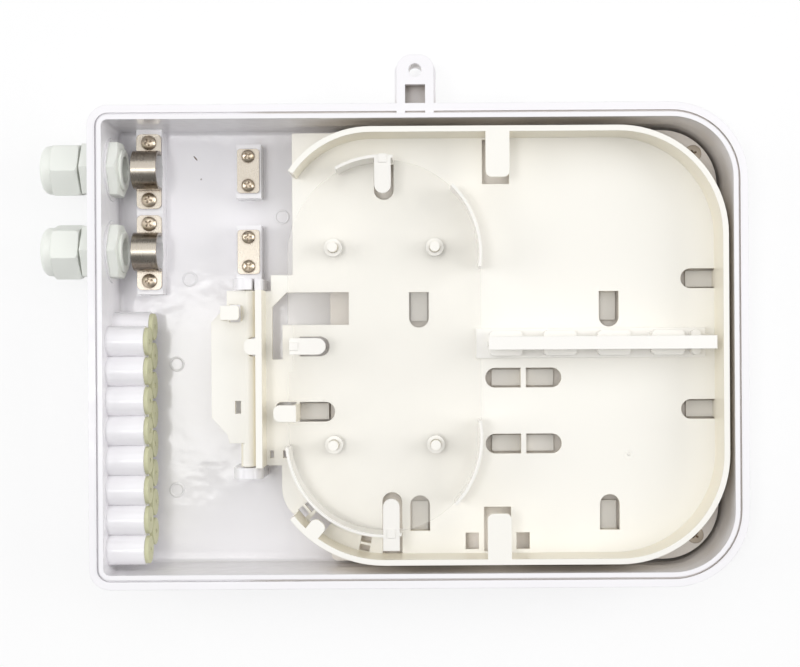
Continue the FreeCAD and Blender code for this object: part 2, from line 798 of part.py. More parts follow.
def gland(number, y, turn):
    """A cable gland through the entry wall; X is the cable's line, and zero is the wall's outer seat."""
    seat = seat_in - seat_out
    collar_face = -(d.gasket_sheet + d.collar_length)
    neck_end = collar_face - d.neck_length

    body = Piece("gland_body_%d" % number)
    section = Outline(neck_end, d.gland_bore / 2).line(neck_end, d.neck_outer / 2)
    section.line(-d.gasket_sheet, d.neck_outer / 2).line(-d.gasket_sheet, d.gland_thread / 2)
    section.line(seat + d.locknut_sheet + d.thread_beyond_nut, d.gland_thread / 2)
    section.line(seat + d.locknut_sheet + d.thread_beyond_nut, d.gland_bore / 2)
    body.turn("XY", "H_Axis", section)
    body.add("YZ", collar_face, -d.gasket_sheet, hexagon(size(0), size(0), d.collar_flats),
             Round(0, 0, d.gland_bore))
    body.cut("YZ", neck_end - d.overrun, neck_end + d.seal_seat_depth, Round(0, 0, d.seal_outer + d.cap_play))
    body.place(seat_out, y, d.gland_height)

    gasket = Piece("gland_gasket_%d" % number)
    gasket.add("YZ", -d.gasket_sheet, 0, Round(0, 0, d.gasket_outer),
               Round(0, 0, d.gland_thread + d.cap_play))
    gasket.place(seat_out, y, d.gland_height)

    nut = Piece("gland_locknut_%d" % number)
    corner = d.locknut_round / 2
    bore = (d.gland_thread + d.cap_play) / 2
    section = Outline(0, bore).line(d.locknut_sheet, bore).line(d.locknut_sheet, corner - 2 * d.hex_chamfer)
    section.line(d.locknut_sheet - d.hex_chamfer, corner).line(0, corner)
    nut.turn("XY", "H_Axis", section)
    hex_outside(nut, -d.overrun, d.locknut_sheet + d.overrun, d.locknut_flats)
    nut.place(seat_in, y, d.gland_height)

    cap = Piece("gland_cap_%d" % number)
    start = collar_face - d.cap_gap
    corner = d.cap_flats * (HEX_CORNER / 2)
    dome = start - d.cap_hex_length
    end = dome - d.cap_dome_length
    cavity = (d.neck_outer + d.cap_play) / 2
    dome_base = d.cap_dome_base / 2
    dome_top = d.cap_dome_top / 2
    section = Outline(start, cavity).line(end + d.cap_mouth_sheet + d.cap_dome_length / 2, cavity)
    section.line(end + d.cap_mouth_sheet, (d.seal_outer + d.cap_play) / 2)
    section.line(end + d.cap_mouth_sheet, d.cap_mouth / 2).line(end, d.cap_mouth / 2).line(end, dome_top)
    bend = dome_base - dome_top
    section.arc(dome - d.cap_dome_length + bend, dome_base, end + bend, dome_top, left_turn=False)
    section.line(dome, dome_base).line(dome, corner - d.hex_chamfer).line(dome + d.hex_chamfer, corner)
    section.line(start - d.hex_chamfer, corner).line(start, corner - d.hex_chamfer)
    cap.turn("XY", "H_Axis", section)
    hex_outside(cap, dome, start + d.overrun, d.cap_flats)
    cap.place(seat_out, y, d.gland_height)
    spin = FreeCAD.Rotation(Vector(1, 0, 0), turn)
    cap.body.Placement = FreeCAD.Placement(cap.body.Placement.Base, spin)

    seal = Piece("gland_seal_%d" % number)
    seal_inner_end = neck_end + d.seal_seat_depth
    seal.add("YZ", end + d.cap_mouth_sheet + d.cap_play, seal_inner_end,
             Round(0, 0, d.seal_outer), Round(0, 0, d.seal_bore))
    seal.place(seat_out, y, d.gland_height)


def saddle(number, y):
    """An omega clamp bent from sheet, with its feet on the rib and its crown over the cable."""
    part = Piece("cable_saddle_%d" % number)
    inner = d.saddle_inner / 2
    outer = inner + d.saddle_sheet
    end = outer + d.saddle_ear
    rise = d.saddle_rise
    sheet_top = d.saddle_sheet
    bend = Outline(end, 0).line(end, sheet_top).line(outer, sheet_top).line(outer, rise)
    bend.arc(-outer, rise, 0, rise).line(-outer, sheet_top).line(-end, sheet_top).line(-end, 0)
    bend.line(-inner, 0).line(-inner, rise).arc(inner, rise, 0, rise, left_turn=False).line(inner, 0)
    part.add("YZ", -d.saddle_width / 2, d.saddle_width / 2, bend)
    hole = d.screw_shank + 2 * d.screw_play
    part.cut("XY", -d.overrun, d.saddle_sheet + d.overrun,
             *[Round(0, side * d.saddle_screw_pitch / 2, hole) for side in (-1, 1)])
    part.soften(d.saddle_corner, lambda edge: edge.BoundBox.XLength < 1e-4 and edge.BoundBox.YLength < 1e-4
                and abs(abs(edge.BoundBox.YMin) - end.value) < 1e-3)
    part.place(rib_x, y, rib_top)


def member_plate(number, y):
    part = Piece("strength_plate_%d" % number)
    half_x = d.member_width / 2
    half_y = d.member_length / 2
    part.add("XY", 0, d.member_sheet,
             rounded(-half_x, -half_y, half_x, half_y, d.member_corner, d.member_corner))
    hole = d.screw_shank + 2 * d.screw_play
    part.cut("XY", -d.overrun, d.member_sheet + d.overrun,
             *[Round(0, side * d.member_screw_pitch / 2, hole) for side in (-1, 1)])
    part.place(member_x, y, member_top)


def cross(reach, width):
    """The outline of a cross recess."""
    near = width / 2
    path = Outline(-near, -reach).line(near, -reach).line(near, -near).line(reach, -near).line(reach, near)
    path.line(near, near).line(near, reach).line(-near, reach).line(-near, near).line(-reach, near)
    return path.line(-reach, -near).line(-near, -near)


def pan_screw(label, head, x, y, z, turn):
    """A cross-recessed pan-head screw that stands on its seat at zero height."""
    part = Piece(label)
    edge = d.head_edge
    rise = d.head_rise
    half = head / 2
    centre = (rise * rise - edge * edge - half * half) / (2 * (rise - edge))
    length = d.screw_length - d.screw_tip_gap
    section = Outline(0, -length).line(d.screw_shank / 2, -length).line(d.screw_shank / 2, 0)
    section.line(half, 0).line(half, edge).arc(0, rise, 0, centre)
    part.turn("XZ", "V_Axis", section)
    part.cut("XY", rise - d.cross_depth, rise + d.overrun, cross(d.cross_reach, d.cross_width))
    part.place(x, y, z, turn)


def saddles_and_plates():
    for number, y in enumerate(gland_ys, 1):
        saddle(number, y)
        member_plate(number, y)
    places = [(y, side) for y in gland_ys for side in (1, -1)]
    for number, (y, side) in enumerate(places, 1):
        pan_screw("saddle_screw_%d" % number, d.saddle_head, rib_x, y + side * d.saddle_screw_pitch / 2,
                  rib_top + d.saddle_sheet, SADDLE_TURNS[number - 1])
        pan_screw("plate_screw_%d" % number, d.member_head, member_x, y + side * d.member_screw_pitch / 2,
                  member_top + d.member_sheet, PLATE_TURNS[number - 1])


def deck_screw(number, x, y):
    """A countersunk screw, flush with the deck's top face."""
    part = Piece("deck_screw_%d" % number)
    half = d.deck_screw_head / 2
    shank = d.deck_screw_shank / 2
    cone = half - shank
    length = d.deck_screw_length - d.screw_tip_gap
    section = Outline(0, -length).line(shank, -length).line(shank, -cone).line(half, 0).line(0, 0)
    part.turn("XZ", "V_Axis", section)
    part.cut("XY", -d.cross_depth, d.overrun, cross(d.cross_reach, d.cross_width))
    part.place(x, y, deck_top - d.deck_screw_sink, DECK_TURNS[number - 1])


def lower_deck():
    """The plate below the splice tray, with countersunk holes and the rests that the shut tray lies on."""
    part = Piece("lower_deck")
    play = 2 * d.screw_play
    cone = (d.deck_screw_head - d.deck_screw_shank) / 2
    rests = [(x, side * d.deck_rest_side) for x in (d.deck_rest_near, d.deck_rest_far) for side in (-1, 1)]
    corner = d.round_corner - d.deck_gap
    part.add("XY", d.deck_height, deck_top,
             rounded(-d.deck_left, -deck_side, deck_right, deck_side, d.entry_corner, corner))
    part.cut("XY", d.deck_height - d.overrun, deck_top + d.overrun,
             *[Round(x, y, d.deck_screw_shank + play) for x, y in deck_screws])
    part.cut("XY", deck_top - cone, deck_top,
             *[Round(x, y, d.deck_screw_head + play) for x, y in deck_screws], taper=-HEAD_ANGLE)
    part.add("XY", deck_top - d.overrun, d.tray_height - d.deck_rest_gap,
             *[Round(x, y, d.deck_rest) for x, y in rests])
    for number, (x, y) in enumerate(deck_screws, 1):
        deck_screw(number, x, y)


def splice_tray():
    part = Piece("splice_tray")
    corner = d.tray_corner
    foot_x = hinge_x + d.tray_foot_offset
    foot_low = low_start_y + d.tray_foot_rise
    rise_x = low_start_x - foot_x
    foot_arc = (rise_x * rise_x + d.tray_foot_rise * d.tray_foot_rise) / (2 * rise_x)
    step_x = hinge_x + d.tray_step_offset
    plate = Outline(low_centre_x, -tray_side).line(tray_right - corner, -tray_side)
    plate.arc(tray_right, corner - tray_side, tray_right - corner, corner - tray_side)
    plate.line(tray_right, tray_side - corner)
    plate.arc(tray_right - corner, tray_side, tray_right - corner, tray_side - corner)
    plate.line(tray_left, tray_side).line(tray_left, d.tray_step_top).line(step_x, d.tray_step_top)
    plate.line(step_x, d.hinge_top).line(hinge_x, d.hinge_top).line(hinge_x, hinge_low)
    plate.line(foot_x, hinge_low).line(foot_x, foot_low)
    plate.arc(low_start_x, low_start_y, foot_x + foot_arc, foot_low)
    plate.arc(low_centre_x, -tray_side, low_centre_x, low_centre_y)
    part.add("XY", d.tray_height, tray_top, plate)
    fibre_guide(part)
    tray_openings(part)
    part.add("XY", tray_top - d.overrun, d.case_height, wall_outline())
    tray_fingers(part)
    posts = [(winding_x + side_x * d.post_pitch_short / 2, side_y * d.post_pitch_long / 2)
             for side_x in (-1, 1) for side_y in (-1, 1)]
    part.add("XY", tray_top - d.overrun, tray_top + d.post_height, *[Round(x, y, d.post) for x, y in posts])


def fibre_guide(part):
    """The hinge barrel with its pins, a web and a wall beside it, and the raised guide plate on its other side."""
    neck_x = hinge_x - d.guide_neck
    guide_x = hinge_x - d.guide_reach
    web = Outline(hinge_x, hinge_low).line(guide_wall_x + d.overrun, hinge_low)
    web.line(guide_wall_x + d.overrun, d.hinge_top).line(hinge_x, d.hinge_top)
    part.add("XY", d.tray_height, d.hinge_height, web)
    part.add("XZ", hinge_low, d.hinge_top, Round(hinge_x, d.hinge_height, d.barrel))
    part.add("XZ", hinge_low - d.pin_length, d.hinge_top + d.pin_length,
             Round(hinge_x, d.hinge_height, d.pin))
    slot_half = d.guide_finger_width / 2 + d.finger_margin
    part.cut("XY", d.tray_height - d.overrun, d.hinge_height + d.barrel,
             strip(guide_wall_x, 0, 180, 0, d.guide_finger, slot_half, d.finger_tip))
    plate = Outline(hinge_x, d.hinge_top).line(neck_x, d.hinge_top)
    plate.line(neck_x, d.guide_shoulder + d.guide_shoulder_rise).line(guide_x, d.guide_shoulder)
    plate.line(guide_x, -d.guide_low).line(neck_x, -d.guide_low - d.guide_low_drop)
    plate.line(hinge_x - d.guide_foot_neck, -d.guide_foot).line(hinge_x, -d.guide_foot)
    hole_x = hinge_x - d.guide_hole_reach
    hole_low = -d.guide_hole_top - d.guide_hole_length
    hole = block(hole_x - d.guide_hole_width, hole_low, hole_x, -d.guide_hole_top)
    slot = strip(hinge_x - d.guide_tab_reach + 2 * d.finger_sheet, d.guide_tab_y, 0, 0,
                 d.guide_tab_reach - 2 * d.finger_sheet - d.guide_slot_end,
                 d.guide_tab_width / 2 + d.finger_margin, d.finger_tip)
    part.add("XY", guide_top - d.guide_sheet, guide_top, plate, hole, slot)
    part.add("XY", d.tray_height, guide_wall_top,
             block(guide_wall_x, hinge_low, guide_wall_x + d.guide_wall_sheet, d.hinge_top))
    tab_x = hinge_x - d.guide_tab_reach
    tab_half = d.guide_tab_width / 2
    part.add("XY", guide_top - d.guide_sheet, guide_wall_top,
             block(tab_x, d.guide_tab_y - tab_half, tab_x + d.finger_sheet, d.guide_tab_y + tab_half))
    part.add("XY", guide_wall_top - d.finger_sheet, guide_wall_top,
             strip(guide_wall_x + d.overrun, 0, 180, 0, d.guide_finger + d.overrun, d.guide_finger_width / 2,
                   d.finger_tip),
             strip(tab_x, d.guide_tab_y, 0, 0, d.guide_tab_length, tab_half, d.finger_tip / 2))


def wall_outline():
    """The tray's upright wall, open towards the hinge."""
    sheet = d.tray_wall
    low_scale = (d.tray_low_arc - sheet) / d.tray_low_arc
    top_scale = (d.tray_top_arc - sheet) / d.tray_top_arc
    right = tray_right - d.tray_corner
    upper = tray_side - d.tray_corner
    wall = Outline(low_start_x, low_start_y).arc(low_centre_x, -tray_side, low_centre_x, low_centre_y)
    wall.line(right, -tray_side).arc(tray_right, -upper, right, -upper).line(tray_right, upper)
    wall.arc(right, tray_side, right, upper).line(top_centre_x, tray_side)
    wall.arc(tray_left, top_start_y, top_centre_x, top_centre_y)
    wall.line(top_centre_x - d.tray_top_reach * top_scale,
              top_centre_y + (top_start_y - top_centre_y) * top_scale)
    wall.arc(top_centre_x, tray_side - sheet, top_centre_x, top_centre_y, left_turn=False)
    wall.line(right, tray_side - sheet).arc(tray_right - sheet, upper, right, upper, left_turn=False)
    wall.line(tray_right - sheet, -upper).arc(right, sheet - tray_side, right, -upper, left_turn=False)
    wall.line(low_centre_x, sheet - tray_side)
    return wall.arc(low_centre_x - d.tray_low_reach * low_scale,
                    low_centre_y + (low_start_y - low_centre_y) * low_scale,
                    low_centre_x, low_centre_y, left_turn=False)


def tray_openings(part):
    """Every opening in the tray floor, cut at once, and then the hooks below the slots."""
    left = hinge_x + d.window_left
    right = hinge_x + d.window_right
    leg = left + d.window_leg
    window = Outline(left, -d.window_leg_low).line(leg, -d.window_leg_low).line(leg, d.window_low)
    window.line(right, d.window_low).line(right, d.window_top).line(left + d.window_chamfer, d.window_top)
    window.line(left, d.window_top - d.window_chamfer)
    inner = tray_side - d.tray_wall
    end_x = tray_right - d.tray_wall
    near = d.pair_slot_shift - d.pair_slot_bridge / 2
    far = d.pair_slot_shift + d.pair_slot_bridge / 2
    low_end = -d.slot_low - d.slot_length
    length = d.slot_length
    slots = [(x, y, angle, length) for x in (d.slot_near_shift, d.slot_far_shift)
             for y, angle in ((d.slot_top, -90), (low_end, 90))]
    slots += [(end_x, y, 180, d.end_slot_length) for y in (d.end_slot_top, -d.end_slot_low)]
    slots += [(x, y, angle, length) for y in (-d.pair_slot_top, -d.pair_slot_low)
              for x, angle in ((near, 180), (far, 0))]
    slots.append((left_post_x + d.finger_sheet, d.left_finger_y, 0, length))
    shapes = [window]
    stems = []
    hooks = []
    half = d.slot_width / 2
    for x, y, angle, length in slots:
        shapes.append(strip(x, y, angle, 0, length, half, half))
        stems.append(strip(x, y, angle, -d.hook_sheet, 0, half - d.hook_play))
        hooks.append(strip(x, y, angle, -d.hook_sheet, length - d.hook_short, half - d.hook_play))
    shapes += holes_by_wall(inner)
    shapes += [winding_slot(winding_x, 90, 1), winding_slot(winding_low_x, -90, -1), side_slot()]
    finger_end = d.left_finger_length + d.finger_margin - d.finger_sheet
    shapes.append(strip(left_post_x, d.left_finger_y, 180, 0, finger_end,
                        d.left_finger_width / 2 + d.finger_margin, d.finger_tip))
    low = d.tray_height - d.hook_drop
    part.cut("XY", d.tray_height - d.overrun, tray_top + d.overrun, *shapes)
    part.add("XY", low, tray_top - d.overrun, *stems)
    part.add("XY", low, low + d.hook_sheet, *hooks)


def holes_by_wall(inner):
    """Openings near the wall: below the long fingers, beside them, at the lower corner and at the hinge."""
    shapes = []
    finger_half = d.finger_width / 2 + d.finger_margin
    for side in (-1, 1):
        shapes.append(strip(d.finger_shift, 0, side * 90, inner - d.finger_reach - d.finger_margin,
                            inner - d.hook_play, finger_half))
        hole_x = d.finger_shift + side * d.side_hole_pitch / 2
        hole_y = d.side_hole_edge + d.tray_wall / 2 - tray_side
        shapes.append(block(hole_x - d.side_hole_width / 2, hole_y - d.side_hole_length / 2,
                            hole_x + d.side_hole_width / 2, hole_y + d.side_hole_length / 2))
    for hole_x in (hinge_x + d.tie_hole_reach, hinge_x + d.tie_hole_reach + d.tie_hole_pitch):
        shapes.append(block(hole_x - d.tie_hole_width / 2, d.tie_hole_y - d.tie_hole_length / 2,
                            hole_x + d.tie_hole_width / 2, d.tie_hole_y + d.tie_hole_length / 2))
    arc_inner = d.tray_low_arc - d.tray_wall
    for angle in CLIP_HOLES:
        for reach in (d.clip_hole_near, d.clip_hole_far):
            shapes.append(strip(low_centre_x, low_centre_y, angle, reach - d.clip_hole_depth / 2,
                                reach + d.clip_hole_depth / 2, d.clip_hole_width / 2))
    shapes.append(strip(low_centre_x, low_centre_y, ARC_FINGER,
                        arc_inner - d.arc_finger_reach - d.arc_finger_margin, arc_inner - d.hook_play,
                        d.arc_finger_width / 2 + d.arc_finger_margin))
    return shapes


def winding_slot(x, angle, side):
    """The opening below one end finger of the winding tray, from its round end to a flat end."""
    tip = d.winding_finger_tip - d.winding_slot_past
    flat = tray_side - d.tray_wall
    if side > 0:
        flat = winding_straight + winding_half - d.winding_rim - d.finger_margin
    return strip(x, side * flat, angle + 180, 0, flat - tip, d.winding_slot / 2, d.winding_slot / 2)


def side_slot():
    """The opening below the side finger of the winding tray."""
    start = winding_left + d.winding_notch + 2 * d.finger_sheet
    length = d.winding_side_finger - 2 * d.finger_sheet + d.winding_slot_past / 2
    return strip(start, 0, 0, 0, length, d.winding_slot / 2, d.winding_slot / 2)


def tray_fingers(part):
    """Fingers at the top of the wall that reach in over the fibres, and one on its own post."""
    rim = tray_side - d.tray_wall / 2
    inner = tray_side - d.tray_wall
    arc_rim = d.tray_low_arc - d.tray_wall / 2
    arc_inner = d.tray_low_arc - d.tray_wall
    fingers = [strip(d.finger_shift, side * rim, side * -90, 0, rim - inner + d.finger_reach,
                     d.finger_width / 2, d.finger_tip) for side in (-1, 1)]
    along = math.cos(math.radians(ARC_FINGER))
    across = math.sin(math.radians(ARC_FINGER))
    fingers.append(strip(low_centre_x + arc_rim * along, low_centre_y + arc_rim * across, ARC_FINGER - 180, 0,
                         arc_rim - arc_inner + d.arc_finger_reach, d.arc_finger_width / 2, d.finger_tip))
    part.add("XY", d.case_height - d.finger_sheet, d.case_height, *fingers)
    half = d.left_finger_width / 2
    top = d.case_height - d.left_finger_drop
    part.add("XY", d.tray_height, top,
             block(left_post_x, d.left_finger_y - half, left_post_x + d.finger_sheet, d.left_finger_y + half))
    part.add("XY", top - d.finger_sheet, top,
             strip(left_post_x + d.finger_sheet, d.left_finger_y, 180, 0, d.left_finger_length, half,
                   d.finger_tip))


def winding_tray():
    """The clear oval slack tray: a flat stadium with rim walls and fibre fingers at its ends."""
    part = Piece("winding_tray")
    low = winding_low
    high = low + d.winding_sheet
    half = winding_half
    straight = winding_straight
    x = winding_x
    bar_top = d.bar_shift + d.bar_width / 2 + d.bar_play
    bar_low = d.bar_shift - d.bar_width / 2 - d.bar_play
    bar_end = d.bar_left - d.bar_play
    notch_x = winding_left + d.winding_notch
    post_half = d.slot_width / 2 + d.hook_play
    post_top = d.left_finger_y + post_half
    post_low = d.left_finger_y - post_half
    post_end = left_post_x + d.finger_sheet + d.slot_length
    stadium = Outline(x + half, -straight).line(x + half, bar_low).line(bar_end, bar_low)
    stadium.line(bar_end, bar_top).line(x + half, bar_top).line(x + half, straight).arc(x - half, straight, x, straight)
    stadium.line(winding_left, d.winding_notch_top).line(notch_x, d.winding_notch_top)
    stadium.line(notch_x, -d.winding_notch_low).line(winding_left, -d.winding_notch_low)
    stadium.line(winding_left, post_top).line(post_end - post_half, post_top)
    stadium.arc(post_end - post_half, post_low, post_end - post_half, d.left_finger_y, left_turn=False)
    stadium.line(winding_left, post_low).line(x - half, -straight).arc(x + half, -straight, x, -straight)
    posts = [(x + side_x * d.post_pitch_short / 2, side_y * d.post_pitch_long / 2)
             for side_x in (-1, 1) for side_y in (-1, 1)]
    part.add("XY", low, high, stadium, winding_slot(x, 90, 1), side_slot(),
             *[Round(*place, d.post + 2 * d.winding_ring_play) for place in posts])
    spans = [(straight, span) for span in TOP_RIM] + [(-straight, span) for span in LOW_RIM]
    part.add("XY", low, winding_top, *[rim_span(x, y, half, *span) for y, span in spans],
             block(notch_x, -d.winding_finger / 2, notch_x + d.finger_sheet, d.winding_finger / 2))
    part.cut("XY", low - d.overrun, high + d.overrun, winding_slot(winding_low_x, -90, -1))
    part.add("XY", low, high + d.winding_ring_height,
             *[shape for place in posts
               for shape in (Round(*place, d.winding_ring), Round(*place, d.post + 2 * d.winding_ring_play))])
    winding_fingers(part, notch_x)


def winding_fingers(part, notch_x):
    """Round-ended fingers at the top of the rim, one of them reaching both ways, each with a raised clip."""
    rim_y = winding_straight + winding_half - d.winding_rim / 2
    half = d.winding_finger / 2
    reach = rim_y - d.winding_finger_tip
    clip_half = d.winding_clip / 2
    clip_start = d.winding_clip_length / 4
    out = rim_y + d.winding_low_reach
    part.add("XY", winding_top - d.finger_sheet, winding_top,
             strip(winding_x, rim_y, -90, 0, reach, half, half),
             strip(notch_x, 0, 0, 0, d.winding_side_finger, half, half),
             strip(winding_low_x, -out, 90, 0, out - d.winding_finger_tip, half, half))
    part.add("XY", winding_top - d.overrun, winding_top + d.winding_clip_rise,
             strip(winding_x, rim_y, -90, -clip_start, d.winding_clip_length - clip_start, clip_half),
             strip(notch_x, 0, 0, 0, d.winding_clip_length, clip_half),
             strip(winding_low_x, -rim_y, 90, -clip_start, d.winding_clip_length - clip_start, clip_half))


def rim_span(x, y, reach, start, stop):
    """A stretch of rim wall between two directions, in degrees, round one end of the stadium."""
    inner = reach - d.winding_rim
    cos_a, sin_a = math.cos(math.radians(start)), math.sin(math.radians(start))
    cos_b, sin_b = math.cos(math.radians(stop)), math.sin(math.radians(stop))
    path = Outline(x + reach * cos_a, y + reach * sin_a)
    path.arc(x + reach * cos_b, y + reach * sin_b, x, y)
    path.line(x + inner * cos_b, y + inner * sin_b)
    return path.arc(x + inner * cos_a, y + inner * sin_a, x, y, left_turn=False)


def splice_bar():
    """The divider: a foot on the tray floor, blocks with gaps between them, a web and a T-shaped head."""
    part = Piece("splice_bar")
    end = tray_right - d.bar_end_gap
    foot_end = tray_right - d.bar_foot_gap
    y = d.bar_shift
    low = tray_top
    web_low = low + d.bar_sheet
    head_low = low + d.bar_height - d.bar_head_sheet
    half = d.bar_block_width / 2
    corner = d.bar_block_corner
    part.add("XY", low, web_low, block(d.bar_left, y - d.bar_width / 2, foot_end, y + d.bar_width / 2))
    blocks = []
    for n in range(BAR_BLOCKS):
        start = d.bar_block_first + n * d.bar_block_pitch
        blocks.append(rounded(start, y - half, start + d.bar_block_length, y + half, corner, corner))
    stop = foot_end - d.bar_stop_gap
    blocks.append(rounded(stop - d.bar_stop_length, y - half, stop, y + half, corner, corner))
    part.add("XY", web_low - d.overrun, web_low + d.bar_block_rise, *blocks)
    part.add("XY", low, head_low + d.overrun,
             block(d.bar_head_left, y - d.bar_web / 2, foot_end, y + d.bar_web / 2))
    part.add("XY", head_low, low + d.bar_height,
             block(d.bar_head_left, y - d.bar_head_width / 2, end, y + d.bar_head_width / 2))


base_housing()
for gland_number, gland_y in enumerate(gland_ys, 1):
    gland(gland_number, gland_y, 8 * gland_number)
drop_plugs()
saddles_and_plates()
lower_deck()
splice_tray()
winding_tray()
splice_bar()
doc.recompute()

failed = [item.Label for item in doc.Objects if "Invalid" in item.State or "Error" in item.State]
if failed:
    raise RuntimeError("failed features: " + ", ".join(failed))
for body in PIECES:
    if body.Shape.isNull() or not body.Shape.isValid() or len(body.Shape.Solids) < 1:
        raise RuntimeError("bad shape: " + body.Label)

os.makedirs("parts", exist_ok=True)
for body in PIECES:
    body.Shape.exportStep("parts/" + body.Label + ".step")
    shape = body.Shape
    print(body.Label, len(shape.Solids), round(shape.Volume / 1000, 2), "cm3", len(shape.Faces), "faces")
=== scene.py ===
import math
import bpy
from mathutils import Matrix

bl_info = {
    "name": "Fibre Termination Box Looks",
    "version": (1, 0, 0),
    "blender": (4, 5, 0),
    "location": "View3D > Sidebar > Fibre box",
    "description": "Finishes, stage and camera for an open fibre termination box",
    "category": "Object",
}

import bpy
from mathutils import Vector

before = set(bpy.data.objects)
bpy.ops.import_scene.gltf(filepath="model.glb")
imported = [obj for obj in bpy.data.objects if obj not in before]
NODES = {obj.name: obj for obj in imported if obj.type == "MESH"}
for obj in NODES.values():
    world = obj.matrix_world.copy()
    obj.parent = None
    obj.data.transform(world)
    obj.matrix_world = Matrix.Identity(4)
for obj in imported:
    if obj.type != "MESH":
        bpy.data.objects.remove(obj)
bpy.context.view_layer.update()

MM = 0.001

# The camera's picture in pixels, its sensor in millimetres and its nearest sight in metres
PHOTO_WIDTH = 800
FOCAL_PIXELS = 1348.5
AXIS_PIXEL = (428.0, 350.0)
FRAME_CENTRE = (400.0, 333.5)
SENSOR = 36.0
NEAREST = 0.01

# Marks that the moulds and some wear left, in millimetres
FLOOR_TOP = 2.5
EJECTOR_RINGS = [(-123.4, -8.5), (-123.8, -72.7), (-116.5, 34.8), (-69.4, 66.2)]
EJECTOR_RADIUS = 3.3
SCRATCH = ((-114.3, 97.5), (-112.4, 95.2))
SPECK = (-110.5, 85.6)
TRAY_TOP = 19.2
TRAY_GATES = [(104.2, -54.4)]
TRAY_GATE_RADIUS = 2.2
WINDING_TOP = 20.5
WINDING_GATES = [(-5.2, 73.4), (-4.7, 1.9), (-22.3, -55.2)]
WINDING_GATE_RADIUS = 1.1

# Heights of the relief, in millimetres
GRAIN_RELIEF = 0.005
HOUSING_WAVES = 0.27
HOUSING_RIPPLES = 0.03
EJECTOR_RELIEF = 0.25
TRAY_WAVES = 0.03
TRAY_GATE_DOT = 0.35
TRAY_GATE_RING = 0.08
WINDING_WAVES = 0.04
WINDING_GATE_RING = 0.15
PORE_RELIEF = 0.012
LINE_RELIEF = 0.0015

# Darkest and lightest shade of a colour that wanders
FLOW_SHADES = (0.975, 1.01)
DUST_SHADES = (0.93, 1.05)
TARNISH_SHADES = (0.92, 1.06)

# How far a pattern moves the roughness
HAZE_SPAN = 0.1
DUST_SPAN = 0.2
LINE_SPAN = 0.06
TARNISH_SPAN = 0.08

PLASTIC_IOR = 1.49
RUBBER_ROUGHNESS = 0.5
RUBBER_SPECULAR = 0.35
# Brown for the real scratch and speck on the housing, and for painted shade on the tray's pocket floors
STAIN_AND_SHADE = (0.12, 0.06, 0.03)
SPECK_STRENGTH = 0.6
# Strength of the painted shade on the tray's pocket floors
POCKET_SHADE_STRENGTH = 0.22

# How opaque the clear sheet is, and how much more so at its walls and edges
SHEET_ALPHA = 0.11
WALL_ALPHA = 0.72
EDGE_ALPHA = 0.14

# Floor spot in millimetres, beneath the lug, where the floor's glow is left out: a painted shadow that shows
# through the window and the hole of the lug
LUG_SHADOW_SPOT = (-0.3, 134.0)

# Half the floor's side in metres, and the share of it that glows
FLOOR_REACH = 6.0
FLOOR_GLOW = 0.74

# Width and place of each lamp, in metres
KEY_LAMP = (0.3, (-0.45, 0.02, 1.65))
GLINT_LAMP = (0.32, (-0.38, -0.06, 1.65))
TOP_LAMP = (2.6, (0.0, 0.45, 1.65))
LEFT_LAMP = (1.2, (-1.4, 0.2, 0.8))
RIGHT_LAMP = (1.2, (1.4, 0.2, 0.8))
LEFT_SHARE = 0.85
RIGHT_SHARE = 1.15
AMBIENT = (0.97, 0.98, 1.0)


class Link:
    """A shader socket that takes part in sums."""

    def __init__(self, tree, socket):
        self.tree = tree
        self.socket = socket

    def maths(self, operation, *others):
        """One sum of this value and the others."""
        values = dict(enumerate((self, *others)))
        return self.tree.node("ShaderNodeMath", {"operation": operation}, values)

    def __add__(self, other):
        return self.maths("ADD", other)

    def __sub__(self, other):
        return self.maths("SUBTRACT", other)

    def __mul__(self, other):
        return self.maths("MULTIPLY", other)

    def larger(self, other):
        return self.maths("MAXIMUM", other)

    def size(self):
        """The value without its sign."""
        return self.maths("ABSOLUTE")


def rgba(colour, factor=1.0):
    """A colour made lighter or darker by a factor, with nothing see-through."""
    return tuple(channel * factor for channel in colour[:3]) + (1.0,)


